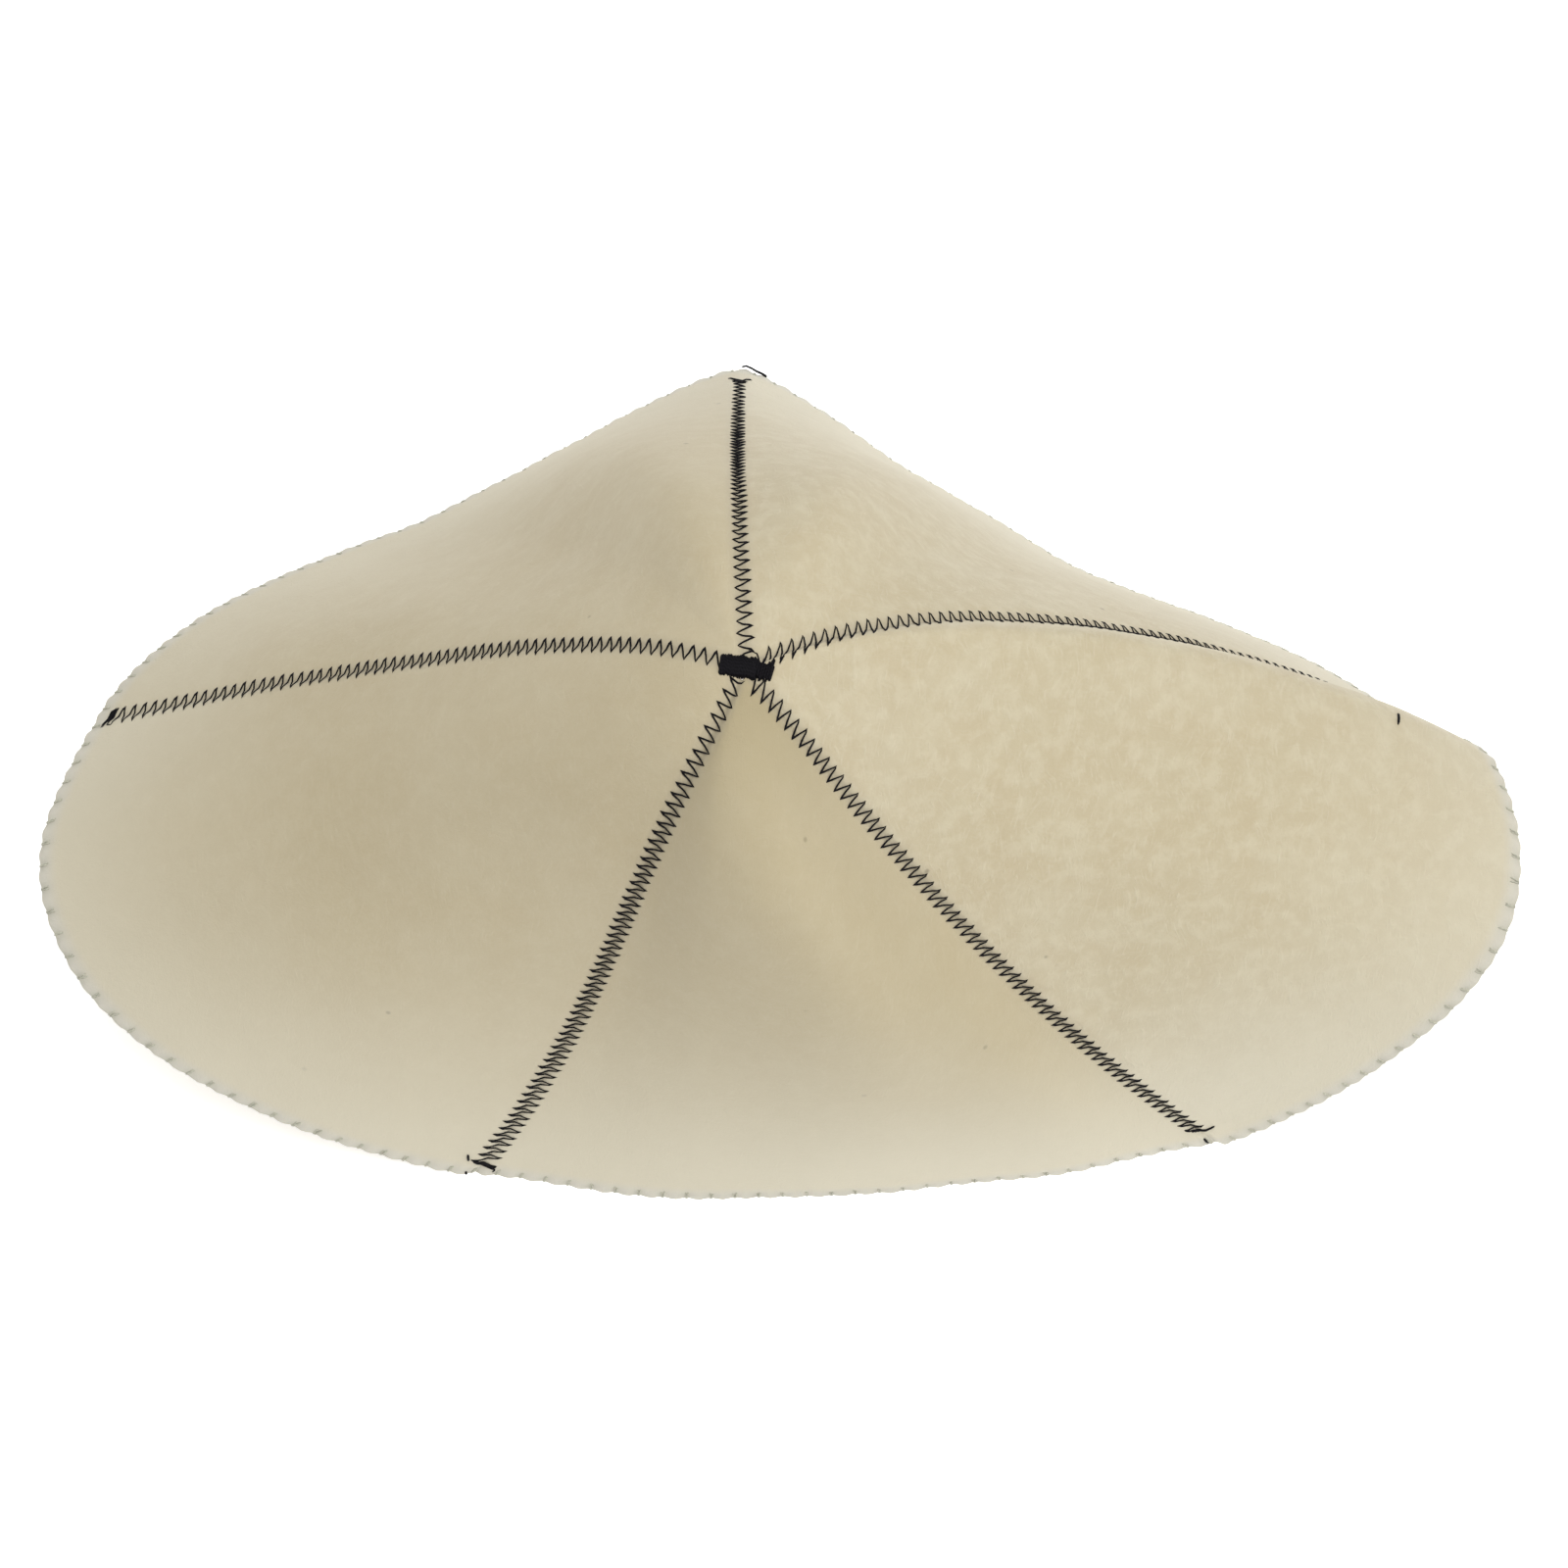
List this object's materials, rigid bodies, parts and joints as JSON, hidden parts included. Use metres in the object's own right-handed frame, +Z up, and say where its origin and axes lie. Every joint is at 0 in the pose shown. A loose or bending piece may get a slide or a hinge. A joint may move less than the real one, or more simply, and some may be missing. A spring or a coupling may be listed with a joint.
{
  "type": "sauna hat",
  "caption": "Soft felt sauna hat: a low pointed crown of butt-sewn gores that flares to a wide wavy rim, hollow and open below.",
  "frame": {"origin": "middle of the hat's plan, on the table that its rim rests on", "axes": "+Z up through the crown, +Y towards the back seam, +X to the wearer's left as seen from the front"},
  "size_m": [0.3866, 0.234, 0.1635],
  "materials": {
    "felt": "matte undyed wool felt",
    "black_thread": "satin sewing thread"
  },
  "bodies": {
    "root": {"gore_back_right": "felt", "gore_back_left": "felt", "gore_left": "felt", "gore_front": "felt", "gore_right": "felt", "apex_tack": "black_thread"}
  },
  "joints": []
}
